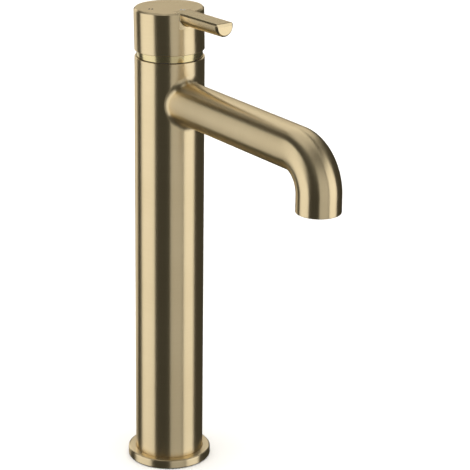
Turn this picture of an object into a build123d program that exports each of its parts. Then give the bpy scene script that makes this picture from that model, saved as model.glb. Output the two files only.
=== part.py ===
from build123d import *
import os
from math import cos, radians, sin, sqrt

# Tall single-lever basin mixer. Millimetres, +Z up, deck plane at z = 0, column axis on Z.
# The spout and the lever point along -Y, hot is on the -X side and cold on the +X side.

# Small bevel that breaks the turned edges
EDGE_BREAK = 0.3

# Column and base
COLUMN_R = 22.5
COLUMN_BORE_R = 20.3
COLUMN_FOOT_Z = 1.6
RIM_Z = 278.8
FLANGE_R = 27.6
FLANGE_TOP_Z = 6.0
FLANGE_ROUND = 1.2
FLANGE_LIFT = 0.4
FLANGE_LEDGE_R = 17.0
GASKET_R = 26.5
GASKET_BORE_R = 23.5
GASKET_TOP_Z = 1.4
PLUG_TOP_Z = 18.0
PLUG_BOSS_R = 16.0
STUD_HOLE_R = 3.4
STUD_HOLE_DEPTH = 14.0
INLET_R = 4.5
INLET_DEPTH = 9.5

# Water ways: the two inlets and the mixed outlet keep these places from base to discs
INLET_X = 9.2
INLET_Y = -4.5
INLET_PORT_R = 2.3
OUTLET_Y = 4.0
OUTLET_PORT_R = 4.0
RISER_R = 4.0
RISER_BORE_R = 3.0
SOCKET_R = 4.05
SOCKET_DEPTH = 8.0
RING_GROOVE_R = 5.3
RING_GROOVE_WIDTH = 1.6

# Valve block
BLOCK_R = 20.25
BLOCK_FOOT_Z = 240.0
BLOCK_TOP_Z = 276.0
PLUG_GROOVE_Z = PLUG_TOP_Z - SOCKET_DEPTH / 2
BLOCK_GROOVE_Z = BLOCK_FOOT_Z + SOCKET_DEPTH / 2
PEG_R = 1.2
PEG_LENGTH = 1.8
CARTRIDGE_FLOOR_Z = 262.0
CARTRIDGE_BORE_R = 17.5
NUT_BORE_R = 19.2
NUT_BORE_Z = 271.5

# Spout
SPOUT_Z = 252.1
SPOUT_R = 13.9
SPOUT_BORE_R = 11.9
SPOUT_REACH = 158.4
SPOUT_BEND_R = 22.9
OUTLET_Z = 218.5
OUTLET_ROUND = 0.5
SADDLE_R = COLUMN_R + 0.05
SADDLE_FILLET = 4.5
AERATOR_BORE_R = 12.4
AERATOR_BORE_TOP_Z = 229.0
AERATOR_FOOT_Z = OUTLET_Z + 0.8
AERATOR_TOP_Z = 227.6
AERATOR_INNER_R = 10.8
AERATOR_LIP_R = 10.2
MESH_HOLE_R = 0.85
MESH_PITCH = 2.3
SPIGOT_R = 5.8
SPIGOT_SOCKET_R = 5.85
SPIGOT_BORE_R = 4.0
SPIGOT_END_Y = -4.5
SPIGOT_GROOVE_R = 4.9
SPIGOT_HEAD_Y = -24.0
SPIGOT_HEAD_LENGTH = 12.0
SEAL_GROOVE_YS = (-18.0, -9.0)
SEAL_GROOVE_WIDTH = 1.3
LOCK_SCREW_Y = -14.0
LOCK_SCREW_R = 2.0

# Cartridge
CARTRIDGE_R = 17.4
HOUSING_BORE_R = 16.0
HOUSING_TOP_Z = 280.0
PORT_SEAL_HEIGHT = 1.2
PORT_SEAL_WALL = 1.2
DISC_GASKET_R = 14.5
DISC_GASKET_Z = 265.0
BASE_TOP_Z = 266.0
FIXED_DISC_TOP_Z = 269.0
MOVING_DISC_Z = 269.02
MOVING_DISC_TOP_Z = 271.8
MOVING_DISC_R = 13.3
POCKET_FRONT_Y = -1.2
CARRIER_Z = 271.85
CARRIER_TOP_Z = 275.8
CARRIER_R = 13.5
ROTOR_FOOT_Z = 276.1
ROTOR_SHOULDER_Z = 278.5
NECK_R = 11.05
ROTOR_TOP_Z = 285.0
PIVOT_Z = 281.2
PIN_R = 1.5
STEM_SIDE = 8.0
BALL_DROP = 6.6
BALL_R = 2.2

# Collar and handle, the handle in its level position before the closed tilt is applied
COLLAR_R = 21.15
DOME_R = sqrt(COLLAR_R**2 + (PIVOT_Z - RIM_Z) ** 2)
DOME_BORE_R = 19.6
DOME_OPENING_R = 15.5
COLLAR_NECK_R = 20.7
COLLAR_NECK_HEIGHT = 0.4
SKIRT_Z = 283.3
CAP_TOP_Z = 310.6
CAP_CHAMFER = 1.0
CAVITY_R = 21.7
LEVER_HALF_WIDTH = 6.4
LEVER_SIDE = 2.2
LEVER_REACH = 62.0
LEVER_ROOT_Y = -15.0
ROOT_FILLET = 0.8
TIP_CHAMFER = 1.1
CLOSED_TILT = 1.85
LIFT_RANGE = 18.0
BOSS_R = 8.0
BOSS_FOOT_Z = 290.5
STEM_TOP_Z = 303.0
HANDLE_SCREW_Z = 297.5
SCREW_R = 2.5
SCREW_PLUG_R = 3.0
SCREW_PLUG_LENGTH = 2.6
MARK_RADIUS = 13.3
MARK_DEPTH = 0.4
MARK_BAR = (1.1, 2.8)
MARK_GAP = 1.9
HOT_PLACE = 177.0
COLD_PLACE = 277.0
MARK_AXIS = 45.0

TILT_AXIS = Axis((0, 0, PIVOT_Z), (1, 0, 0))
BALL_SHIFT_Y = -BALL_DROP * sin(radians(CLOSED_TILT))


def rod(radius, z_low, z_high, x=0.0, y=0.0):
    """Upright cylinder between two heights."""
    middle = (z_low + z_high) / 2
    return Pos(x, y, middle) * Cylinder(radius, z_high - z_low)


def ring(r_out, r_in, z_low, z_high, x=0.0, y=0.0):
    """Upright tube between two heights."""
    return rod(r_out, z_low, z_high, x, y) - rod(r_in, z_low - 1, z_high + 1, x, y)


def cross_rod(radius, y_low, y_high, z):
    """Cylinder along Y at a height on the axis plane."""
    middle = (y_low + y_high) / 2
    return Pos(0, middle, z) * Rot(90, 0, 0) * Cylinder(radius, y_high - y_low)


def turned(points):
    """Solid of revolution about Z from (radius, height) points."""
    with BuildPart() as body:
        with BuildSketch(Plane.XZ):
            with BuildLine():
                Polyline(*points, close=True)
            make_face()
        revolve(axis=Axis.Z)
    return body.part


def inlet_places():
    """Places of the hot and cold water ways, hot first."""
    return [(-INLET_X, INLET_Y), (INLET_X, INLET_Y)]


def port_rods(z_low, z_high, grow=0.0):
    """Rods through the three ports, to cut them out."""
    rods = [rod(INLET_PORT_R + grow, z_low, z_high, x, y) for x, y in inlet_places()]
    rods.append(rod(OUTLET_PORT_R + grow, z_low, z_high, 0, OUTLET_Y))
    return rods


def closed_pose(level_shape):
    """Tip a level handle part up to the angle at which the closed handle rests."""
    return level_shape.rotate(TILT_AXIS, -CLOSED_TILT)


# Column and base


def column_body():
    tube = ring(COLUMN_R, COLUMN_BORE_R, COLUMN_FOOT_Z, RIM_Z)
    rim = tube.edges().filter_by(GeomType.CIRCLE).group_by(Axis.Z)[-1].sort_by(SortBy.RADIUS)[-1]
    tube = chamfer(rim, EDGE_BREAK)
    return tube - cross_rod(SPIGOT_R + 0.3, -COLUMN_R - 1, -COLUMN_BORE_R + 3, SPOUT_Z)


def base_flange():
    profile = [
        (FLANGE_LEDGE_R, FLANGE_LIFT),
        (GASKET_BORE_R, FLANGE_LIFT),
        (GASKET_BORE_R, GASKET_TOP_Z),
        (GASKET_R, GASKET_TOP_Z),
        (GASKET_R, FLANGE_LIFT),
        (FLANGE_R - EDGE_BREAK, FLANGE_LIFT),
        (FLANGE_R, FLANGE_LIFT + EDGE_BREAK),
        (FLANGE_R, FLANGE_TOP_Z),
        (COLUMN_R + 0.25, FLANGE_TOP_Z),
        (COLUMN_R + 0.05, FLANGE_TOP_Z - 0.4),
        (COLUMN_R + 0.05, COLUMN_FOOT_Z),
        (FLANGE_LEDGE_R, COLUMN_FOOT_Z),
    ]
    flange = turned(profile)
    top_rim = flange.edges().group_by(Axis.Z)[-1].sort_by(SortBy.RADIUS)[-1]
    return fillet(top_rim, FLANGE_ROUND)


def base_gasket():
    return ring(GASKET_R, GASKET_BORE_R, 0, GASKET_TOP_Z)


def riser_groove(z_middle, x, y):
    half = RING_GROOVE_WIDTH / 2
    return rod(RING_GROOVE_R, z_middle - half, z_middle + half, x, y)


def base_plug():
    plug = rod(BLOCK_R, COLUMN_FOOT_Z, PLUG_TOP_Z) + rod(PLUG_BOSS_R, 0, COLUMN_FOOT_Z)
    plug -= rod(STUD_HOLE_R, -1, STUD_HOLE_DEPTH)
    for x, y in inlet_places():
        plug -= rod(INLET_R, -1, INLET_DEPTH, x, y)
        plug -= rod(RISER_BORE_R, INLET_DEPTH - 1, PLUG_TOP_Z, x, y)
        plug -= rod(SOCKET_R, PLUG_TOP_Z - SOCKET_DEPTH + 1, PLUG_TOP_Z + 1, x, y)
        plug -= riser_groove(PLUG_GROOVE_Z, x, y)
    return plug


def riser(x, y):
    foot_z = PLUG_TOP_Z - SOCKET_DEPTH + 1.2
    top_z = BLOCK_FOOT_Z + SOCKET_DEPTH - 0.2
    return ring(RISER_R, RISER_BORE_R, foot_z, top_z, x, y)


def rubber_ring(r_in, r_out):
    """Round-section ring lying flat, held between two radii."""
    section = (r_out - r_in) / 2
    return Torus(r_in + section, section)


def riser_o_rings():
    seal = rubber_ring(RISER_R, RING_GROOVE_R)
    heights = [PLUG_GROOVE_Z, BLOCK_GROOVE_Z]
    return [Pos(x, y, z) * seal for x, y in inlet_places() for z in heights]


# Valve block and spout


def valve_block():
    block = rod(BLOCK_R, BLOCK_FOOT_Z, BLOCK_TOP_Z)
    block -= rod(CARTRIDGE_BORE_R, CARTRIDGE_FLOOR_Z, BLOCK_TOP_Z + 1)
    block -= rod(NUT_BORE_R, NUT_BORE_Z, BLOCK_TOP_Z + 1)
    for x, y in inlet_places():
        block -= rod(SOCKET_R, BLOCK_FOOT_Z - 1, BLOCK_FOOT_Z + SOCKET_DEPTH, x, y)
        block -= rod(INLET_PORT_R, BLOCK_FOOT_Z, CARTRIDGE_FLOOR_Z + 1, x, y)
        block -= riser_groove(BLOCK_GROOVE_Z, x, y)
    block -= rod(OUTLET_PORT_R, SPOUT_Z, CARTRIDGE_FLOOR_Z + 1, 0, OUTLET_Y)
    block -= cross_rod(SPIGOT_SOCKET_R, -BLOCK_R - 1, SPIGOT_END_Y + 0.2, SPOUT_Z)
    block -= cross_rod(OUTLET_PORT_R, SPIGOT_END_Y, OUTLET_Y + OUTLET_PORT_R, SPOUT_Z)
    block -= rod(LOCK_SCREW_R + 0.05, SPOUT_Z, CARTRIDGE_FLOOR_Z + 1, 0, LOCK_SCREW_Y)
    for x, y in peg_places():
        block -= rod(PEG_R + 0.05, CARTRIDGE_FLOOR_Z - PEG_LENGTH - 0.2, CARTRIDGE_FLOOR_Z + 1, x, y)
    return block


def peg_places():
    return [(-11.0, 8.5), (11.0, 8.5)]


def spout_path():
    bend_y = -(SPOUT_REACH - SPOUT_BEND_R)
    with BuildLine() as path:
        run = Line((0, -5, SPOUT_Z), (0, bend_y, SPOUT_Z))
        bend = TangentArc(run @ 1, (0, -SPOUT_REACH, SPOUT_Z - SPOUT_BEND_R), tangent=run % 1)
        Line(bend @ 1, (0, -SPOUT_REACH, OUTLET_Z))
    return path.line


def spout_sweep(radius):
    start = Plane(origin=(0, -5, SPOUT_Z), z_dir=(0, -1, 0))
    return sweep(start * Circle(radius), path=spout_path())


def saddle_edges(shape):
    """Edges where the spout leaves the column's wall."""
    found = []
    for edge in shape.edges():
        middle = edge @ 0.5
        on_wall = abs(sqrt(middle.X**2 + middle.Y**2) - COLUMN_R) < 0.1
        near_spout = abs(middle.Z - SPOUT_Z) < SPOUT_R + 1
        if on_wall and near_spout and middle.Y < 0 and edge.geom_type != GeomType.LINE:
            found.append(edge)
    return found


def spout_outside():
    """Outer form of the spout, with the rounded mouth and the foot that flares onto the column."""
    bar = spout_sweep(SPOUT_R)
    bar = fillet(bar.faces().sort_by(Axis.Z)[0].edges(), OUTLET_ROUND)
    joined = bar + rod(COLUMN_R, SPOUT_Z - 30, SPOUT_Z + 30)
    joined = fillet(saddle_edges(joined), SADDLE_FILLET)
    return joined - rod(SADDLE_R, SPOUT_Z - 40, SPOUT_Z + 40)


def spout_tube():
    tube = spout_outside() - spout_sweep(SPOUT_BORE_R)
    return tube - rod(AERATOR_BORE_R, OUTLET_Z - 1, AERATOR_BORE_TOP_Z, 0, -SPOUT_REACH)


def spout_spigot():
    head = cross_rod(SPOUT_BORE_R - 0.05, SPIGOT_HEAD_Y - SPIGOT_HEAD_LENGTH, SPIGOT_HEAD_Y, SPOUT_Z)
    spigot = head + cross_rod(SPIGOT_R, SPIGOT_HEAD_Y - 1, SPIGOT_END_Y, SPOUT_Z)
    groove_blank = Rot(90, 0, 0) * ring(SPIGOT_R + 1, SPIGOT_GROOVE_R, -0.5, 0.5)
    for y in SEAL_GROOVE_YS:
        spigot -= Pos(0, y, SPOUT_Z) * scale(groove_blank, (1, SEAL_GROOVE_WIDTH, 1))
    spigot -= Pos(0, LOCK_SCREW_Y, SPOUT_Z) * scale(groove_blank, (1, 2 * LOCK_SCREW_R + 0.4, 1))
    return spigot - cross_rod(SPIGOT_BORE_R, -50, 0, SPOUT_Z)


def spigot_o_rings():
    seal = Rot(90, 0, 0) * rubber_ring(SPIGOT_GROOVE_R, SPIGOT_SOCKET_R)
    return [Pos(0, y, SPOUT_Z) * seal for y in SEAL_GROOVE_YS]


def hex_socket(across_flats, depth):
    """Hexagonal hole running down from the plane z = 0."""
    outline = RegularPolygon(across_flats / 2, 6, major_radius=False)
    return Pos(0, 0, -depth) * extrude(outline, depth + 1)


def spout_lock_screw():
    foot = SPOUT_Z + SPIGOT_GROOVE_R + 0.05
    screw = rod(LOCK_SCREW_R, foot, CARTRIDGE_FLOOR_Z - 0.3)
    screw = chamfer(screw.edges().group_by(Axis.Z)[0], 0.6)
    screw -= Pos(0, 0, CARTRIDGE_FLOOR_Z - 0.3) * hex_socket(2.0, 2.0)
    return Pos(0, LOCK_SCREW_Y, 0) * screw


def aerator_housing():
    shell = ring(AERATOR_BORE_R - 0.05, AERATOR_INNER_R, AERATOR_FOOT_Z, AERATOR_TOP_Z)
    shell += ring(AERATOR_INNER_R + 0.1, AERATOR_LIP_R, AERATOR_FOOT_Z, AERATOR_FOOT_Z + 1)
    for notch in range(4):
        slot = Box(1.6, 3.0, 1.2)
        shell -= Rot(0, 0, 90 * notch) * Pos(AERATOR_BORE_R, 0, AERATOR_FOOT_Z) * slot
    return Pos(0, -SPOUT_REACH, 0) * shell


def aerator_insert():
    disc = rod(AERATOR_INNER_R - 0.05, AERATOR_FOOT_Z + 1.05, AERATOR_FOOT_Z + 5)
    with GridLocations(MESH_PITCH, MESH_PITCH, 7, 7) as grid:
        places = [place.position for place in grid.locations]
    for spot in places:
        if spot.length < AERATOR_LIP_R - MESH_HOLE_R - 0.4:
            disc -= rod(MESH_HOLE_R, AERATOR_FOOT_Z, AERATOR_FOOT_Z + 6, spot.X, spot.Y)
    return Pos(0, -SPOUT_REACH, 0) * disc


def aerator_washer():
    return ring(AERATOR_BORE_R - 0.1, 9.5, AERATOR_TOP_Z + 0.05, AERATOR_BORE_TOP_Z, 0, -SPOUT_REACH)


# Cartridge


def cartridge_base():
    base = rod(CARTRIDGE_R, CARTRIDGE_FLOOR_Z, BASE_TOP_Z)
    base -= rod(DISC_GASKET_R + 0.05, DISC_GASKET_Z, BASE_TOP_Z + 1)
    for hole in port_rods(CARTRIDGE_FLOOR_Z - 1, BASE_TOP_Z + 1):
        base -= hole
    for hole in port_rods(CARTRIDGE_FLOOR_Z - 1, CARTRIDGE_FLOOR_Z + PORT_SEAL_HEIGHT, PORT_SEAL_WALL):
        base -= hole
    for x, y in peg_places():
        base += rod(PEG_R, CARTRIDGE_FLOOR_Z - PEG_LENGTH, CARTRIDGE_FLOOR_Z + 1, x, y)
    return base


def cartridge_port_seals():
    top = CARTRIDGE_FLOOR_Z + PORT_SEAL_HEIGHT
    grow = PORT_SEAL_WALL - 0.05
    outers = port_rods(CARTRIDGE_FLOOR_Z, top, grow)
    inners = port_rods(CARTRIDGE_FLOOR_Z - 1, top + 1, 0.05)
    return [outer - inner for outer, inner in zip(outers, inners)]


def ported_plate(radius, z_low, z_high):
    plate = rod(radius, z_low, z_high)
    for hole in port_rods(z_low - 1, z_high + 1):
        plate -= hole
    return plate


def disc_gasket():
    return ported_plate(DISC_GASKET_R, DISC_GASKET_Z, BASE_TOP_Z)


def fixed_disc():
    return ported_plate(HOUSING_BORE_R - 0.1, BASE_TOP_Z, FIXED_DISC_TOP_Z)


def moving_disc():
    disc = rod(MOVING_DISC_R, MOVING_DISC_Z, MOVING_DISC_TOP_Z)
    pocket_length = OUTLET_Y + OUTLET_PORT_R + 1.5 - POCKET_FRONT_Y
    pocket = Box(13.0, pocket_length, 1.6)
    pocket = fillet(pocket.edges().filter_by(Axis.Z), 3.0)
    pocket_y = POCKET_FRONT_Y + pocket_length / 2
    disc -= Pos(0, pocket_y - BALL_SHIFT_Y, MOVING_DISC_Z + 0.4) * pocket
    return Pos(0, BALL_SHIFT_Y, 0) * disc


def disc_carrier():
    carrier = ring(CARRIER_R, BALL_R + 0.07, CARRIER_Z, CARRIER_TOP_Z)
    return Pos(0, BALL_SHIFT_Y, 0) * carrier


def cartridge_housing():
    wall = ring(CARTRIDGE_R, HOUSING_BORE_R, BASE_TOP_Z, HOUSING_TOP_Z)
    return wall + ring(CARTRIDGE_R, NECK_R + 0.1, ROTOR_SHOULDER_Z + 0.1, HOUSING_TOP_Z)


def cartridge_rotor():
    rotor = rod(HOUSING_BORE_R - 0.2, ROTOR_FOOT_Z, ROTOR_SHOULDER_Z)
    rotor += rod(NECK_R, ROTOR_FOOT_Z, ROTOR_TOP_Z)
    slot = Box(STEM_SIDE + 0.2, 15.0, 20.0)
    rotor -= Pos(0, 0, PIVOT_Z) * slot
    return rotor - Pos(0, 0, PIVOT_Z) * Rot(0, 90, 0) * Cylinder(PIN_R, 3 * NECK_R)


def pivot_pin():
    pin = Pos(0, 0, PIVOT_Z) * Rot(0, 90, 0) * Cylinder(PIN_R, 2 * NECK_R - 1.2)
    return chamfer(pin.edges().filter_by(GeomType.CIRCLE), EDGE_BREAK)


def lever_stem():
    square_foot_z = PIVOT_Z - 2.8
    square_length = STEM_TOP_Z - square_foot_z
    shaft = Pos(0, 0, square_foot_z + square_length / 2) * Box(STEM_SIDE, STEM_SIDE, square_length)
    shaft = chamfer(shaft.edges().group_by(Axis.Z)[-1], 0.6)
    stem = shaft + rod(1.5, PIVOT_Z - BALL_DROP, square_foot_z + 1)
    stem += Pos(0, 0, PIVOT_Z - BALL_DROP) * Sphere(BALL_R)
    stem -= Pos(0, 0, PIVOT_Z) * Rot(0, 90, 0) * Cylinder(PIN_R + 0.05, 2 * STEM_SIDE)
    return closed_pose(stem)


def cartridge_nut():
    lip_z = HOUSING_TOP_Z + 0.02
    top_z = lip_z + 1.6
    nut = ring(NUT_BORE_R - 0.05, CARTRIDGE_BORE_R, NUT_BORE_Z + 0.5, top_z)
    nut += ring(NUT_BORE_R - 0.05, NECK_R + 1, lip_z, top_z)
    for notch in range(6):
        nut -= Rot(0, 0, 60 * notch) * Pos(NECK_R + 1.5, 0, top_z) * Box(3.0, 3.0, 2.0)
    return nut


# Collar and handle


def dome_ball(radius):
    return Pos(0, 0, PIVOT_Z) * Sphere(radius)


def trim_collar():
    band = dome_ball(DOME_R) - dome_ball(DOME_BORE_R)
    band -= rod(DOME_OPENING_R, PIVOT_Z, PIVOT_Z + 2 * DOME_R)
    band -= rod(2 * DOME_R, PIVOT_Z - 2 * DOME_R, RIM_Z)
    band -= ring(DOME_R + 1, COLLAR_NECK_R, RIM_Z - 1, RIM_Z + COLLAR_NECK_HEIGHT)
    spigot = ring(BLOCK_R, DOME_BORE_R - 0.2, BLOCK_TOP_Z + 0.1, RIM_Z + 0.3)
    return band + spigot


def lever_bar():
    """Bar with a flat top and a half-round underside, along -Y."""
    half = LEVER_HALF_WIDTH
    side_z = CAP_TOP_Z - LEVER_SIDE
    root = Plane(origin=(0, LEVER_ROOT_Y, 0), x_dir=(1, 0, 0), z_dir=(0, -1, 0))
    with BuildPart() as bar:
        with BuildSketch(root):
            with BuildLine():
                Polyline((half, side_z), (half, CAP_TOP_Z), (-half, CAP_TOP_Z), (-half, side_z))
                ThreePointArc((-half, side_z), (0, side_z - half), (half, side_z))
            make_face()
        extrude(amount=LEVER_REACH + LEVER_ROOT_Y)
    return bar.part


def outer_form():
    """Cap and lever in one piece, with the root filleted and the top edge bevelled all round."""
    form = rod(COLUMN_R, SKIRT_Z, CAP_TOP_Z) + lever_bar()
    form = fillet(root_edges(form), ROOT_FILLET)
    form = chamfer(form.faces().sort_by(Axis.Z)[-1].edges(), CAP_CHAMFER)
    skirt = form.edges().filter_by(GeomType.CIRCLE).group_by(Axis.Z)[0]
    form = chamfer(skirt, EDGE_BREAK)
    tip = form.faces().sort_by(Axis.Y)[0]
    return chamfer(tip.edges(), TIP_CHAMFER)


def root_edges(shape):
    """Edges where the lever leaves the cap's side wall."""
    low = CAP_TOP_Z - LEVER_SIDE - LEVER_HALF_WIDTH - 0.5
    high = CAP_TOP_Z - 0.05
    found = []
    for edge in shape.edges():
        middle = edge @ 0.5
        on_wall = abs(sqrt(middle.X**2 + middle.Y**2) - COLUMN_R) < 0.1
        if on_wall and middle.Y < 0 and low < middle.Z < high:
            found.append(edge)
    return found


def rear_relief():
    """Space that the skirt leaves free behind, so that it clears the rim at full lift."""
    slab = Pos(0, 0, RIM_Z + 0.35 - 25) * Box(120, 120, 50)
    return slab.rotate(TILT_AXIS, CLOSED_TILT + LIFT_RANGE)


def handle_bores():
    height = HANDLE_SCREW_Z
    bores = cross_rod(SCREW_R, 0, BOSS_R + 1, height)
    bores += cross_rod(SCREW_R + 0.1, BOSS_R + 2, COLUMN_R + 1, height)
    return bores + cross_rod(SCREW_PLUG_R, COLUMN_R - SCREW_PLUG_LENGTH, COLUMN_R + 1, height)


def handle():
    body = outer_form() - dome_ball(CAVITY_R)
    body += rod(BOSS_R, BOSS_FOOT_Z, CAP_TOP_Z - 4)
    socket_rise = STEM_TOP_Z + 0.5 - BOSS_FOOT_Z
    body -= Pos(0, 0, BOSS_FOOT_Z) * Box(STEM_SIDE + 0.1, STEM_SIDE + 0.1, 2 * socket_rise)
    body -= rear_relief()
    body -= handle_bores()
    for place in (HOT_PLACE, COLD_PLACE):
        for bar in mark_bars(place):
            body -= bar
    return closed_pose(body)


def handle_set_screw():
    length = BOSS_R - STEM_SIDE / 2
    screw = Rot(90, 0, 0) * (rod(SCREW_R - 0.02, -length, 0) - hex_socket(2.5, 2.2))
    return closed_pose(Pos(0, BOSS_R, HANDLE_SCREW_Z) * Rot(0, 0, 180) * screw)


def handle_screw_plug():
    plug = cross_rod(SCREW_PLUG_R - 0.02, COLUMN_R - SCREW_PLUG_LENGTH, COLUMN_R - 0.35, HANDLE_SCREW_Z)
    plug = chamfer(plug.edges().group_by(Axis.Y)[-1], EDGE_BREAK)
    return closed_pose(plug)


def mark_bars(place_deg, fill=False):
    """Two short bars side by side, let into the top of the cap."""
    x = MARK_RADIUS * cos(radians(place_deg))
    y = MARK_RADIUS * sin(radians(place_deg))
    sink = CAP_TOP_Z - MARK_DEPTH
    rise = 0.0 if fill else 1.0
    outline = extrude(SlotOverall(MARK_BAR[1], MARK_BAR[0]), MARK_DEPTH + rise)
    base = Pos(x, y, sink) * Rot(0, 0, MARK_AXIS)
    return [base * Pos(0, side * MARK_GAP / 2, 0) * outline for side in (-1, 1)]


def mark(place_deg):
    return [closed_pose(bar) for bar in mark_bars(place_deg, fill=True)]


NODES = {
    "column_body": column_body,
    "base_flange": base_flange,
    "base_gasket": base_gasket,
    "base_plug": base_plug,
    "hot_riser": lambda: riser(-INLET_X, INLET_Y),
    "cold_riser": lambda: riser(INLET_X, INLET_Y),
    "riser_o_rings": riser_o_rings,
    "valve_block": valve_block,
    "spout_tube": spout_tube,
    "spout_spigot": spout_spigot,
    "spigot_o_rings": spigot_o_rings,
    "spout_lock_screw": spout_lock_screw,
    "aerator_housing": aerator_housing,
    "aerator_insert": aerator_insert,
    "aerator_washer": aerator_washer,
    "cartridge_base": cartridge_base,
    "cartridge_port_seals": cartridge_port_seals,
    "disc_gasket": disc_gasket,
    "fixed_disc": fixed_disc,
    "moving_disc": moving_disc,
    "disc_carrier": disc_carrier,
    "cartridge_housing": cartridge_housing,
    "cartridge_rotor": cartridge_rotor,
    "pivot_pin": pivot_pin,
    "lever_stem": lever_stem,
    "cartridge_nut": cartridge_nut,
    "trim_collar": trim_collar,
    "handle": handle,
    "handle_set_screw": handle_set_screw,
    "handle_screw_plug": handle_screw_plug,
    "hot_mark": lambda: mark(HOT_PLACE),
    "cold_mark": lambda: mark(COLD_PLACE),
}


def main():
    os.makedirs("parts", exist_ok=True)
    for node, make in NODES.items():
        shape = make()
        if isinstance(shape, list):
            shape = Compound(children=shape)
        export_step(shape, f"parts/{node}.step")


main()
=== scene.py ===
import math

import bpy
from mathutils import Matrix, Vector


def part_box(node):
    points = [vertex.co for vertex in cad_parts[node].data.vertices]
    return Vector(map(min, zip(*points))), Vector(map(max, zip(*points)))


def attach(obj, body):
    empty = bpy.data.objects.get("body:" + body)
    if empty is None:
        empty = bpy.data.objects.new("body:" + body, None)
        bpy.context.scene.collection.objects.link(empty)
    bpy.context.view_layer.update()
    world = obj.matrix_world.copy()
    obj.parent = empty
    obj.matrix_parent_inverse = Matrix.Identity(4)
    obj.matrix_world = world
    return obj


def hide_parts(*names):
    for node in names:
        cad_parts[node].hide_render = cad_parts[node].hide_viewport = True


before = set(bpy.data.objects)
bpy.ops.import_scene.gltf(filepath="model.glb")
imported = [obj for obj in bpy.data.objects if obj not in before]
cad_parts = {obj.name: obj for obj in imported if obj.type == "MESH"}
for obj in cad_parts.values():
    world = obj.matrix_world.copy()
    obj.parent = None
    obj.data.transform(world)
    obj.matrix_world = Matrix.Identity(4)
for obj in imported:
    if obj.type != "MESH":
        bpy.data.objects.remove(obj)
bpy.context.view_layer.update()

MM = 0.001

# Camera, fitted to the outlines in the photograph
CAMERA_PLACE = (-0.75142, -1.11918, 0.64056)
CAMERA_AZIMUTH = -35.71
CAMERA_DOWN = 19.73
CAMERA_ROLL = 0.67
CAMERA_LENS = 166.61

# Surfaces of the brass
BRASS_LIGHT = (0.93, 0.77, 0.49, 1)
BRASS_DARK = (0.85, 0.69, 0.42, 1)
EDGE_TINT = (1.0, 0.93, 0.80, 1)

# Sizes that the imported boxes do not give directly
SPOUT_R = 13.9 * MM
SPOUT_BORE_R = 11.9 * MM
SPOUT_BEND_R = 22.9 * MM
SPOUT_AXIS_Z = 252.1 * MM
SADDLE_FILLET = 4.5 * MM
OUTLET_ROUND = 0.5 * MM
AERATOR_BORE_R = 12.4 * MM
AERATOR_BORE_TOP_Z = 229.0 * MM
COLUMN_BORE_R = 20.3 * MM
FLANGE_ROUND = 1.2 * MM
FLANGE_BORE_R = 17.0 * MM
PIVOT_Z = 281.2 * MM
DOME_BORE_R = 19.6 * MM
DOME_OPENING_R = 15.5 * MM
COLLAR_SPIGOT_R = 20.25 * MM
COLLAR_NECK_R = 20.7 * MM
COLLAR_NECK_HEIGHT = 0.4 * MM
HANDLE_TILT = 1.85
TIP_START_Y = -60.2 * MM
LEVER_START_Y = -14.0 * MM
LEVER_EDGE_X = 6.6 * MM
LEVER_FOOT_Z = 300.3 * MM
TOP_FACING = 0.85
# Outer radius of the black ring of painted shade in the collar's neck
SHADOW_RING_R = 21.35 * MM
GASKET_GROOVE_R = 23.5 * MM
SPOUT_TUBE_START = 30.0 * MM
COLUMN_CLEARANCE = 0.05 * MM
EDGE_BREAK = 0.3 * MM

# Fine lines of the brushing: lines per metre across it, and per metre along it
BRUSH_LINES = ((2600.0, 35.0), (900.0, 20.0))
BRUSH_ANISOTROPY = 0.90
LEVER_GLOSS = -0.08


# Node helpers


def node(tree, kind, inputs=None, **settings):
    made = tree.nodes.new(kind)
    for key, value in settings.items():
        setattr(made, key, value)
    for key, value in (inputs or {}).items():
        socket = made.inputs[key]
        if isinstance(value, bpy.types.NodeSocket):
            tree.links.new(value, socket)
        else:
            socket.default_value = value
    return made


def math_node(tree, operation, first, second=0.0, clamp=False):
    made = node(tree, "ShaderNodeMath", {0: first, 1: second}, operation=operation, use_clamp=clamp)
    return made.outputs[0]


def noise(tree, vector, scale, detail=2.0, roughness=0.5):
    made = node(tree, "ShaderNodeTexNoise", {
        "Vector": vector, "Scale": scale, "Detail": detail, "Roughness": roughness})
    return made.outputs["Fac"]


def spread(tree, value, low, high):
    made = node(tree, "ShaderNodeMapRange", {
        "Value": value, "From Min": 0.3, "From Max": 0.7, "To Min": low, "To Max": high})
    return made.outputs[0]


def mix_colour(tree, factor, first, second):
    made = tree.nodes.new("ShaderNodeMix")
    made.data_type = "RGBA"
    for index, value in ((0, factor), (6, first), (7, second)):
        if isinstance(value, bpy.types.NodeSocket):
            tree.links.new(value, made.inputs[index])
        else:
            made.inputs[index].default_value = value
    return made.outputs[2]


def mix_vector(tree, factor, first, second):
    made = tree.nodes.new("ShaderNodeMix")
    made.data_type = "VECTOR"
    for index, value in ((0, factor), (4, first), (5, second)):
        if isinstance(value, bpy.types.NodeSocket):
            tree.links.new(value, made.inputs[index])
        else:
            made.inputs[index].default_value = value
    return made.outputs[1]


def new_material(name):
    material = bpy.data.materials.new(name)
    material.use_nodes = True
    tree = material.node_tree
    tree.nodes.clear()
    output = tree.nodes.new("ShaderNodeOutputMaterial")
    shader = tree.nodes.new("ShaderNodeBsdfPrincipled")
    tree.links.new(shader.outputs[0], output.inputs["Surface"])
    return material, tree, shader


def object_place(tree):
    coords = tree.nodes.new("ShaderNodeTexCoord")
    return coords.outputs["Object"]


# Brass


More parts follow.
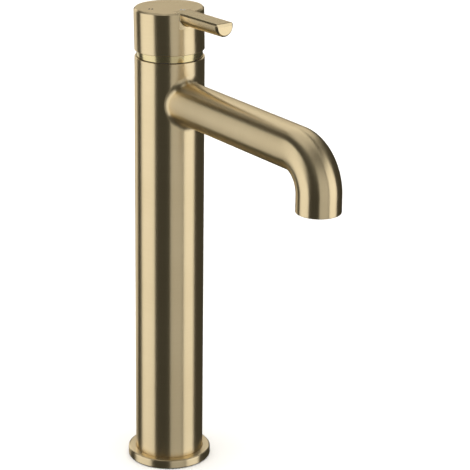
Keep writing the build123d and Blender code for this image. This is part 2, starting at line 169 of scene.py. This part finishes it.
def brushing(tree, shader, along, place, gloss=None):
    """Fine lines across the direction that `along` measures, with drift over the surface."""
    split = node(tree, "ShaderNodeSeparateXYZ", {0: place})
    depth = math_node(tree, "ADD", split.outputs[1], split.outputs[2])
    lines = []
    for pitch, run in BRUSH_LINES:
        across = math_node(tree, "MULTIPLY", along, pitch)
        first = math_node(tree, "MULTIPLY", split.outputs[0], run)
        second = math_node(tree, "MULTIPLY", depth, run)
        vector = node(tree, "ShaderNodeCombineXYZ", {0: across, 1: first, 2: second}).outputs[0]
        lines.append(noise(tree, vector, 1.0))
    drift = noise(tree, place, 22.0, 3.0)
    tone = math_node(tree, "ADD", spread(tree, lines[1], 0.0, 0.22), spread(tree, drift, 0.0, 0.60))
    tree.links.new(mix_colour(tree, tone, BRASS_DARK, BRASS_LIGHT), shader.inputs["Base Color"])
    fine, coarse = lines
    rough = math_node(tree, "ADD", spread(tree, fine, 0.295, 0.315), spread(tree, coarse, -0.006, 0.006))
    if gloss is not None:
        softer = math_node(tree, "MULTIPLY", gloss, LEVER_GLOSS)
        rough = math_node(tree, "ADD", rough, softer)
    tree.links.new(rough, shader.inputs["Roughness"])
    bump = node(tree, "ShaderNodeBump", {
        "Strength": 0.004, "Distance": 0.00003, "Height": lines[0]})
    tree.links.new(bump.outputs[0], shader.inputs["Normal"])
    shader.inputs["Metallic"].default_value = 1.0
    shader.inputs["Anisotropic"].default_value = BRUSH_ANISOTROPY
    shader.inputs["Specular Tint"].default_value = EDGE_TINT


def brushed_brass():
    """Brushed round the axis of a turned or swept piece, whose UV map has U along the axis."""
    material, tree, shader = new_material("brushed_brass_turned")
    uv = node(tree, "ShaderNodeUVMap", uv_map="brushing")
    along = node(tree, "ShaderNodeSeparateXYZ", {0: uv.outputs[0]}).outputs[0]
    brushing(tree, shader, along, object_place(tree))
    tangent = node(tree, "ShaderNodeTangent", direction_type="UV_MAP", uv_map="brushing")
    tree.links.new(tangent.outputs[0], shader.inputs["Tangent"])
    return material


def brushed_handle():
    """Brushed round the cap, across the lever's bar, and along the lever on the flat top."""
    material, tree, shader = new_material("brushed_brass_handle")
    coords = tree.nodes.new("ShaderNodeTexCoord")
    lowered = node(tree, "ShaderNodeVectorMath", {
        0: coords.outputs["Object"], 1: (0, 0, -PIVOT_Z)}, operation="ADD")
    level = node(tree, "ShaderNodeMapping", {
        "Vector": lowered.outputs[0], "Location": (0, 0, PIVOT_Z),
        "Rotation": (math.radians(HANDLE_TILT), 0, 0)})
    place = node(tree, "ShaderNodeSeparateXYZ", {0: level.outputs[0]})
    facing = node(tree, "ShaderNodeSeparateXYZ", {0: coords.outputs["Normal"]})
    on_lever = math_node(tree, "LESS_THAN", place.outputs[1], LEVER_START_Y)
    off_axis = math_node(tree, "LESS_THAN", math_node(tree, "ABSOLUTE", place.outputs[0]), LEVER_EDGE_X)
    lever = math_node(tree, "MULTIPLY", on_lever, off_axis)
    high = math_node(tree, "GREATER_THAN", place.outputs[2], LEVER_FOOT_Z)
    lever = math_node(tree, "MULTIPLY", lever, high)
    top = math_node(tree, "GREATER_THAN", facing.outputs[2], TOP_FACING)
    tip = math_node(tree, "LESS_THAN", place.outputs[1], TIP_START_Y)
    along = node(tree, "ShaderNodeMix", {0: lever, 2: place.outputs[2], 3: place.outputs[1]})
    along = node(tree, "ShaderNodeMix", {0: top, 2: along.outputs[0], 3: place.outputs[0]})
    brushing(tree, shader, along.outputs[0], level.outputs[0], gloss=lever)
    direction = mix_vector(tree, lever, (0, 0, 1), (0, 1, 0))
    direction = mix_vector(tree, tip, direction, (0, 0, 1))
    direction = mix_vector(tree, top, direction, (1, 0, 0))
    in_world = node(tree, "ShaderNodeVectorTransform", {0: direction}, vector_type="VECTOR",
                    convert_from="OBJECT", convert_to="WORLD")
    tree.links.new(in_world.outputs[0], shader.inputs["Tangent"])
    return material


def plain_brass(name, light, dark, rough, lines_per_metre, bump_strength):
    """Polished or turned brass: faint rings, slight cloudiness."""
    material, tree, shader = new_material(name)
    place = object_place(tree)
    split = node(tree, "ShaderNodeSeparateXYZ", {0: place})
    flat = node(tree, "ShaderNodeCombineXYZ", {0: split.outputs[0], 1: split.outputs[1]})
    radius = node(tree, "ShaderNodeVectorMath", {0: flat.outputs[0]}, operation="LENGTH").outputs["Value"]
    rings = node(tree, "ShaderNodeCombineXYZ", {
        0: math_node(tree, "MULTIPLY", radius, lines_per_metre),
        1: math_node(tree, "MULTIPLY", split.outputs[2], lines_per_metre)})
    marks = noise(tree, rings.outputs[0], 1.0)
    cloud = noise(tree, place, 60.0, 3.0)
    tone = math_node(tree, "ADD", spread(tree, marks, 0.0, 0.5), spread(tree, cloud, 0.0, 0.5))
    tree.links.new(mix_colour(tree, tone, dark, light), shader.inputs["Base Color"])
    tree.links.new(spread(tree, marks, rough, rough + 0.08), shader.inputs["Roughness"])
    bump = node(tree, "ShaderNodeBump", {
        "Strength": bump_strength, "Distance": 0.00003, "Height": marks})
    tree.links.new(bump.outputs[0], shader.inputs["Normal"])
    shader.inputs["Metallic"].default_value = 1.0
    return material


def moulded(name, light, dark, rough, grain, metallic=0.0, coat=0.0, bump_strength=0.1):
    """Moulded, pressed or fired surface: cloudy colour, fine grain."""
    material, tree, shader = new_material(name)
    place = object_place(tree)
    cloud = noise(tree, place, 90.0, 3.0)
    fine = noise(tree, place, grain, 2.0)
    tree.links.new(mix_colour(tree, spread(tree, cloud, 0, 1), dark, light), shader.inputs["Base Color"])
    tree.links.new(spread(tree, fine, rough - 0.05, rough + 0.07), shader.inputs["Roughness"])
    bump = node(tree, "ShaderNodeBump", {
        "Strength": bump_strength, "Distance": 0.00005, "Height": fine})
    tree.links.new(bump.outputs[0], shader.inputs["Normal"])
    shader.inputs["Metallic"].default_value = metallic
    shader.inputs["Coat Weight"].default_value = coat
    return material


BRUSHED = brushed_brass()
MATERIALS = {
    "brushed_brass": brushed_handle(),
    "polished_brass": plain_brass(
        "polished_brass_rings", (0.88, 0.75, 0.43, 1), (0.78, 0.65, 0.35, 1), 0.16, 3200.0, 0.01),
    "machined_brass": plain_brass(
        "machined_brass_turned", (0.88, 0.66, 0.33, 1), (0.74, 0.53, 0.24, 1), 0.30, 1800.0, 0.25),
    "black_rubber": moulded(
        "rubber_moulded", (0.030, 0.030, 0.032, 1), (0.016, 0.016, 0.018, 1), 0.62, 1600.0,
        bump_strength=0.2),
    "white_plastic": moulded(
        "white_plastic_moulded", (0.82, 0.82, 0.80, 1), (0.74, 0.74, 0.72, 1), 0.42, 2200.0),
    "grey_plastic": moulded(
        "grey_plastic_moulded", (0.30, 0.30, 0.31, 1), (0.22, 0.22, 0.23, 1), 0.40, 2200.0),
    "white_ceramic": moulded(
        "ceramic_lapped", (0.90, 0.89, 0.86, 1), (0.84, 0.83, 0.79, 1), 0.18, 3000.0,
        coat=0.3, bump_strength=0.03),
    "stainless": moulded(
        "stainless_drawn", (0.64, 0.63, 0.61, 1), (0.50, 0.49, 0.48, 1), 0.28, 2600.0, metallic=1.0),
    "hot_enamel": moulded(
        "enamel_warm", (0.085, 0.040, 0.022, 1), (0.055, 0.024, 0.013, 1), 0.55, 2500.0),
    "cold_enamel": moulded(
        "enamel_cool", (0.30, 0.32, 0.33, 1), (0.22, 0.24, 0.26, 1), 0.55, 2500.0),
}


# Mesh helpers


def mesh_piece(name, rows, closed_rows, material):
    """Grid of rows of points, each row closed round, with U of the UV map along the rows."""
    count = len(rows[0])
    points = [point for row in rows for point in row]
    faces = []
    last = len(rows) if closed_rows else len(rows) - 1
    for i in range(last):
        j = (i + 1) % len(rows)
        for k in range(count):
            m = (k + 1) % count
            faces.append((i * count + k, i * count + m, j * count + m, j * count + k))
    mesh = bpy.data.meshes.new(name)
    mesh.from_pydata(points, [], faces)
    along = [0.0]
    for i in range(last):
        here, there = rows[i][0], rows[(i + 1) % len(rows)][0]
        along.append(along[-1] + (Vector(there) - Vector(here)).length)
    layer = mesh.uv_layers.new(name="brushing")
    index = 0
    for i in range(last):
        for k in range(count):
            corners = ((along[i], k), (along[i], k + 1), (along[i + 1], k + 1), (along[i + 1], k))
            for u, v in corners:
                layer.data[index].uv = (u, v / count)
                index += 1
    mesh.polygons.foreach_set("use_smooth", [True] * len(mesh.polygons))
    mesh.set_sharp_from_angle(angle=math.radians(32))
    mesh.materials.append(material)
    piece = bpy.data.objects.new(name, mesh)
    bpy.context.scene.collection.objects.link(piece)
    weighted = piece.modifiers.new("flat_shading", "WEIGHTED_NORMAL")
    weighted.keep_sharp = True
    weighted.weight = 100
    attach(piece, "body")
    return piece


def arc(centre, radius, start, end, steps):
    """Points of an arc in the profile plane, angles in degrees."""
    points = []
    for i in range(steps + 1):
        angle = math.radians(start + (end - start) * i / steps)
        points.append((centre[0] + radius * math.cos(angle), centre[1] + radius * math.sin(angle)))
    return points


def turned(name, profile, material, segments=192):
    """Solid of revolution about Z, from a closed profile of (radius, height)."""
    rows = []
    for radius, height in profile:
        row = []
        for k in range(segments):
            angle = 2 * math.pi * k / segments
            row.append((radius * math.cos(angle), radius * math.sin(angle), height))
        rows.append(row)
    return mesh_piece(name, rows, True, material)


# Column, base ring and collar


def column():
    low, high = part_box("column_body")
    radius, foot, rim = high[0], low[2], high[2]
    edge = EDGE_BREAK
    profile = [(COLUMN_BORE_R, foot), (radius, foot)]
    steps = 24
    for i in range(1, steps):
        profile.append((radius, foot + (rim - edge - foot) * i / steps))
    profile += [(radius, rim - edge), (radius - edge * 0.3, rim - edge * 0.3), (radius - edge, rim)]
    profile += [(COLUMN_BORE_R, rim)]
    piece = turned("column_shell", profile, BRUSHED)
    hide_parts("column_body")


def base_ring():
    low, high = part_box("base_flange")
    radius, foot, top = high[0], low[2], high[2]
    column_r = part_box("column_body")[1][0]
    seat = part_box("column_body")[0][2]
    gasket_r, _, gasket_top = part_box("base_gasket")[1]
    edge = EDGE_BREAK
    bore_r = column_r + COLUMN_CLEARANCE
    profile = [(FLANGE_BORE_R, seat), (FLANGE_BORE_R, foot)]
    profile += [(GASKET_GROOVE_R, foot), (GASKET_GROOVE_R, gasket_top), (gasket_r, gasket_top)]
    profile += [(gasket_r, foot), (radius - edge, foot), (radius, foot + edge)]
    profile += arc((radius - FLANGE_ROUND, top - FLANGE_ROUND), FLANGE_ROUND, 0, 90, 8)
    profile += [(bore_r + 0.2 * MM, top), (bore_r, top - 0.4 * MM), (bore_r, seat)]
    piece = turned("base_ring", profile, BRUSHED)
    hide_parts("base_flange")


def collar():
    low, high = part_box("trim_collar")
    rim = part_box("column_body")[1][2]
    dome_r = high[0]
    neck_top = rim + COLLAR_NECK_HEIGHT
    start = math.degrees(math.asin((neck_top - PIVOT_Z) / dome_r))
    end = math.degrees(math.acos(DOME_OPENING_R / dome_r))
    inner_end = math.degrees(math.acos(DOME_OPENING_R / DOME_BORE_R))
    spigot_bore = DOME_BORE_R - 0.2 * MM
    profile = [(spigot_bore, low[2]), (COLLAR_SPIGOT_R, low[2]), (COLLAR_SPIGOT_R, rim)]
    profile += [(COLLAR_NECK_R, rim), (COLLAR_NECK_R, neck_top)]
    profile += arc((0, PIVOT_Z), dome_r, start, end, 20)
    profile += arc((0, PIVOT_Z), DOME_BORE_R, inner_end, -6, 16)
    profile += [(spigot_bore, rim + 0.3 * MM)]
    piece = turned("collar_band", profile, MATERIALS["polished_brass"])
    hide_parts("trim_collar")


def neck_shadow_ring():
    """Thin black ring in the neck between the column's rim and the collar: painted shade for the shadow
    gap there.
    """
    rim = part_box("column_body")[1][2]
    top = rim + COLLAR_NECK_HEIGHT
    inner = COLLAR_NECK_R + 0.02 * MM
    edge = 0.12 * MM
    profile = [(inner, rim), (SHADOW_RING_R - edge, rim), (SHADOW_RING_R, rim + edge), (SHADOW_RING_R, top - edge)]
    profile += [(SHADOW_RING_R - edge, top), (inner, top)]
    # The black rubber material here is painted shade for the gap under the collar, not a real seal
    turned("neck_shadow_ring", profile, MATERIALS["black_rubber"])


# Spout


def spout_frame(reach, travel):
    """Centre line point, and the direction that was up at the root, at a distance along the spout."""
    straight = reach - SPOUT_BEND_R
    quarter = SPOUT_BEND_R * math.pi / 2
    if travel <= straight:
        return Vector((0, -travel, SPOUT_AXIS_Z)), Vector((0, 0, 1))
    if travel <= straight + quarter:
        turn = (travel - straight) / SPOUT_BEND_R
        y = -straight - SPOUT_BEND_R * math.sin(turn)
        z = SPOUT_AXIS_Z - SPOUT_BEND_R * (1 - math.cos(turn))
        return Vector((0, y, z)), Vector((0, -math.sin(turn), math.cos(turn)))
    drop = travel - straight - quarter
    return Vector((0, -reach, SPOUT_AXIS_Z - SPOUT_BEND_R - drop)), Vector((0, -1, 0))


def spout_ring(reach, travel, radius, segments):
    centre, lift = spout_frame(reach, travel)
    side = Vector((1, 0, 0))
    row = []
    for k in range(segments):
        angle = 2 * math.pi * k / segments
        row.append(tuple(centre + radius * (math.cos(angle) * side + math.sin(angle) * lift)))
    return row


def saddle_rows(column_r, segments, steps=7):
    """Rolling-ball fillet between the column's wall and the spout, from the wall outwards."""
    rows = [[] for _ in range(steps + 1)]
    ball = SADDLE_FILLET
    for k in range(segments):
        angle = 2 * math.pi * k / segments
        cx = (SPOUT_R + ball) * math.cos(angle)
        cz = (SPOUT_R + ball) * math.sin(angle)
        cy = -math.sqrt((column_r + ball) ** 2 - cx ** 2)
        centre = Vector((cx, cy, SPOUT_AXIS_Z + cz))
        to_wall = Vector((-cx, -cy, 0)).normalized()
        to_tube = Vector((-math.cos(angle), 0, -math.sin(angle)))
        whole = to_wall.angle(to_tube)
        for i in range(steps + 1):
            share = i / steps
            blend = to_wall * math.sin((1 - share) * whole) + to_tube * math.sin(share * whole)
            rows[i].append(tuple(centre + ball * blend / math.sin(whole)))
    return rows


def wall_row(column_r, radius, segments):
    row = []
    for k in range(segments):
        angle = 2 * math.pi * k / segments
        x = radius * math.cos(angle)
        row.append((x, -math.sqrt(column_r ** 2 - x ** 2), SPOUT_AXIS_Z + radius * math.sin(angle)))
    return row


def spout():
    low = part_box("spout_tube")[0]
    reach = -low[1] - SPOUT_R
    column_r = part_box("column_body")[1][0] + COLUMN_CLEARANCE
    segments = 128
    straight = reach - SPOUT_BEND_R
    quarter = SPOUT_BEND_R * math.pi / 2
    end = straight + quarter + (SPOUT_AXIS_Z - SPOUT_BEND_R - low[2])
    rows = saddle_rows(column_r, segments)
    stations = [SPOUT_TUBE_START + (straight - SPOUT_TUBE_START) * i / 12 for i in range(13)]
    stations += [straight + quarter * i / 28 for i in range(1, 29)]
    drop = end - OUTLET_ROUND - straight - quarter
    stations += [straight + quarter + drop * i / 4 for i in range(1, 5)]
    for travel in stations:
        rows.append(spout_ring(reach, travel, SPOUT_R, segments))
    for i in range(1, 6):
        angle = math.radians(90 * i / 5)
        travel = end - OUTLET_ROUND * (1 - math.sin(angle))
        rows.append(spout_ring(reach, travel, SPOUT_R - OUTLET_ROUND * (1 - math.cos(angle)), segments))
    bore_top = straight + quarter + (SPOUT_AXIS_Z - SPOUT_BEND_R - AERATOR_BORE_TOP_Z)
    rows.append(spout_ring(reach, end, AERATOR_BORE_R + 0.3 * MM, segments))
    rows.append(spout_ring(reach, end - 0.3 * MM, AERATOR_BORE_R, segments))
    rows.append(spout_ring(reach, bore_top, AERATOR_BORE_R, segments))
    rows.append(spout_ring(reach, bore_top, SPOUT_BORE_R, segments))
    for i in range(17):
        rows.append(spout_ring(reach, straight + quarter * (1 - i / 16), SPOUT_BORE_R, segments))
    rows.append(wall_row(column_r, SPOUT_BORE_R, segments))
    piece = mesh_piece("spout_pipe", rows, True, BRUSHED)
    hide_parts("spout_tube")


column()
base_ring()
collar()
# Black ring of painted shade in the gap under the collar
neck_shadow_ring()
spout()


# Carried-over nodes

for name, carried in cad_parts.items():
    for place in carried.material_slots:
        slot = place.material.name.split(".")[0]
        place.material = MATERIALS[slot]


# Camera


def place_camera():
    data = bpy.data.cameras.new("camera")
    data.sensor_fit = "HORIZONTAL"
    data.sensor_width = 36.0
    data.lens = CAMERA_LENS
    data.clip_end = 50.0
    camera = bpy.data.objects.new("camera", data)
    bpy.context.scene.collection.objects.link(camera)
    azimuth, down, roll = (math.radians(v) for v in (CAMERA_AZIMUTH, CAMERA_DOWN, CAMERA_ROLL))
    level = Vector((-math.sin(azimuth), math.cos(azimuth), 0))
    forward = level * math.cos(down) - Vector((0, 0, math.sin(down)))
    right = Vector((math.cos(azimuth), math.sin(azimuth), 0))
    up = right.cross(forward)
    leaned_right = right * math.cos(roll) + up * math.sin(roll)
    leaned_up = up * math.cos(roll) - right * math.sin(roll)
    turn = Matrix((leaned_right, leaned_up, -forward)).transposed().to_4x4()
    camera.matrix_world = Matrix.Translation(CAMERA_PLACE) @ turn
    bpy.context.scene.camera = camera


# Studio

# Soft light as a photographer would place it round the faucet: azimuth in degrees from -Y
# towards +X, rise in degrees above the deck, width and height in metres, brightness
SOFTBOXES = (
    ("softbox_left", -112, 0, 1.7, 2.6, 0.95),
    ("softbox_right", 35, 0, 1.2, 2.6, 1.0),
    ("softbox_front", -10, 0, 1.2, 2.6, 0.5),
    ("softbox_back", 145, 38, 1.6, 1.2, 0.8),
    ("softbox_rear", 180, 0, 0.8, 1.6, 0.7),
    ("softbox_top", 180, 80, 1.4, 1.4, 0.6),
)
SOFTBOX_DISTANCE = 1.6
SOFTBOX_AIM = Vector((0, 0, 0.16))
ROOM_DIM = (0.05, 0.05, 0.045, 1)
ROOM_PALE = (0.95, 0.95, 0.95, 1)


def softbox(name, azimuth, rise, width, height, brightness):
    """Rectangular soft lamp that faces the faucet's middle."""
    turn, lift = math.radians(azimuth), math.radians(rise)
    level = Vector((math.sin(turn), -math.cos(turn), 0))
    out = level * math.cos(lift) + Vector((0, 0, math.sin(lift)))
    data = bpy.data.lights.new(name, "AREA")
    data.shape = "RECTANGLE"
    data.size = width
    data.size_y = height
    data.energy = brightness * math.pi * width * height
    lamp = bpy.data.objects.new(name, data)
    lamp.location = SOFTBOX_AIM + out * SOFTBOX_DISTANCE
    lamp.rotation_euler = out.to_track_quat("Z", "Y").to_euler()
    lamp.visible_camera = False
    bpy.context.scene.collection.objects.link(lamp)


def make_world():
    """Dim even room round the softboxes, and a pale backdrop where the camera looks past the faucet."""
    world = bpy.data.worlds.new("studio")
    bpy.context.scene.world = world
    world.use_nodes = True
    tree = world.node_tree
    tree.nodes.clear()
    dim = node(tree, "ShaderNodeBackground", {"Color": ROOM_DIM, "Strength": 1.0})
    pale = node(tree, "ShaderNodeBackground", {"Color": ROOM_PALE, "Strength": 1.0})
    path = tree.nodes.new("ShaderNodeLightPath")
    both = node(tree, "ShaderNodeMixShader", {
        0: path.outputs["Is Camera Ray"], 1: dim.outputs[0], 2: pale.outputs[0]})
    output = tree.nodes.new("ShaderNodeOutputWorld")
    tree.links.new(both.outputs[0], output.inputs["Surface"])


def overhead():
    """Very wide soft light from above, which the metal does not mirror."""
    data = bpy.data.lights.new("overhead", "SUN")
    data.energy = 3.4
    data.angle = math.radians(100)
    data.color = (1.0, 0.975, 0.92)
    lamp = bpy.data.objects.new("overhead", data)
    lamp.rotation_euler = (math.radians(8), math.radians(-6), 0)
    lamp.visible_glossy = False
    bpy.context.scene.collection.objects.link(lamp)


def floor():
    segments, radius, drop = 64, 8.0, -0.3 * MM
    points = [(0, 0, drop)]
    for k in range(segments):
        angle = 2 * math.pi * k / segments
        points.append((radius * math.cos(angle), radius * math.sin(angle), drop))
    faces = [(0, k + 1, (k + 1) % segments + 1) for k in range(segments)]
    mesh = bpy.data.meshes.new("floor")
    mesh.from_pydata(points, [], faces)
    material, tree, shader = new_material("pale_floor")
    cloud = noise(tree, object_place(tree), 1.5)
    colour = mix_colour(tree, cloud, (0.86, 0.86, 0.86, 1), (0.89, 0.89, 0.89, 1))
    tree.links.new(colour, shader.inputs["Base Color"])
    shader.inputs["Roughness"].default_value = 0.9
    shader.inputs["Specular IOR Level"].default_value = 0.0
    mesh.materials.append(material)
    piece = bpy.data.objects.new("floor", mesh)
    piece.visible_glossy = False
    piece.visible_shadow = False
    bpy.context.scene.collection.objects.link(piece)


place_camera()
make_world()
for lamp_facts in SOFTBOXES:
    softbox(*lamp_facts)
overhead()
floor()
bpy.context.scene.view_settings.view_transform = "Standard"
